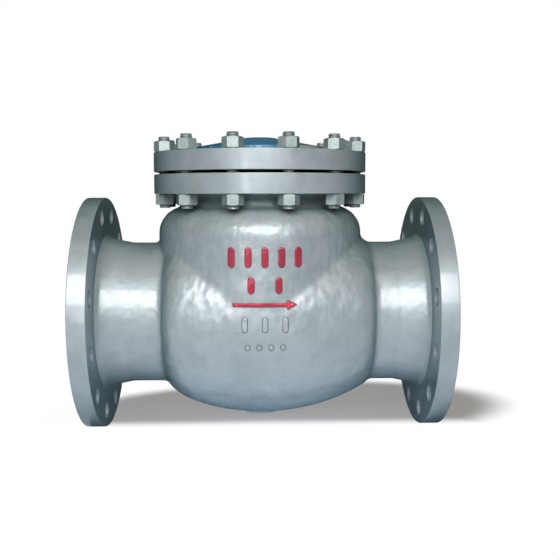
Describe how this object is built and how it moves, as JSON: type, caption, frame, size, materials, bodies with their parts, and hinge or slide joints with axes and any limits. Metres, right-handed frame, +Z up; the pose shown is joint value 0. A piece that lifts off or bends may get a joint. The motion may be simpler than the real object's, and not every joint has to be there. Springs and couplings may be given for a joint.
{
  "type": "swing check valve",
  "caption": "Flanged swing check valve with a bulged cast body, a studded round bonnet and a hinged disc that closes on a ring seat inside.",
  "frame": {"origin": "under mid-length of the valve, in the plane that touches the bottom of both end flanges, 180 mm below the flow axis", "axes": "+X along the flow, from the inlet flange to the outlet flange; +Z up, towards the bonnet"},
  "size_m": [0.55, 0.36, 0.4519],
  "materials": {
    "silver_paint": "brushed silver-grey paint over a rough casting",
    "bonnet_paint": "silver-grey paint with a blue painted patch on the crown",
    "stainless": "machined",
    "spring_steel": "bright wire and strip",
    "forged_steel": "forged, dull grey",
    "gasket_fibre": "dark compressed fibre sheet",
    "oiled_stud": "oiled black thread",
    "plated_nut": "bright plated"
  },
  "bodies": {
    "housing": {"valve_body": "silver_paint", "seat_ring": "stainless", "bonnet": "bonnet_paint", "bonnet_gasket": "gasket_fibre", "hinge_bracket": "forged_steel", "hinge_pin": "stainless", "hinge_pin_clip": "spring_steel", "bracket_bolt_left": "stainless", "bracket_bolt_right": "stainless", "bracket_washer_left": "stainless", "bracket_washer_right": "stainless", "bonnet_stud_01": "oiled_stud", "bonnet_stud_02": "oiled_stud", "bonnet_stud_03": "oiled_stud", "bonnet_stud_04": "oiled_stud", "bonnet_stud_05": "oiled_stud", "bonnet_stud_06": "oiled_stud", "bonnet_stud_07": "oiled_stud", "bonnet_stud_08": "oiled_stud", "bonnet_stud_09": "oiled_stud", "bonnet_stud_10": "oiled_stud", "bonnet_stud_11": "oiled_stud", "bonnet_stud_12": "oiled_stud", "upper_nut_01": "plated_nut", "upper_nut_02": "plated_nut", "upper_nut_03": "plated_nut", "upper_nut_04": "plated_nut", "upper_nut_05": "plated_nut", "upper_nut_06": "plated_nut", "upper_nut_07": "plated_nut", "upper_nut_08": "plated_nut", "upper_nut_09": "plated_nut", "upper_nut_10": "plated_nut", "upper_nut_11": "plated_nut", "upper_nut_12": "plated_nut", "lower_nut_01": "plated_nut", "lower_nut_02": "plated_nut", "lower_nut_03": "plated_nut", "lower_nut_04": "plated_nut", "lower_nut_05": "plated_nut", "lower_nut_06": "plated_nut", "lower_nut_07": "plated_nut", "lower_nut_08": "plated_nut", "lower_nut_09": "plated_nut", "lower_nut_10": "plated_nut", "lower_nut_11": "plated_nut", "lower_nut_12": "plated_nut"},
    "arm": {"hinge_arm": "forged_steel"},
    "closer": {"disc": "stainless", "disc_washer": "stainless", "disc_nut": "stainless", "split_pin": "spring_steel"}
  },
  "joints": [
    {"name": "arm_swing", "type": "hinge", "parent": "housing", "child": "arm", "pos_m": [-0.0785, 0, 0.308], "axis": [0, -1, 0], "range_deg": [0, 60]},
    {"name": "disc_spin", "type": "hinge", "parent": "arm", "child": "closer", "pos_m": [-0.06, 0, 0.18], "axis": [1, 0, 0], "continuous": true}
  ]
}
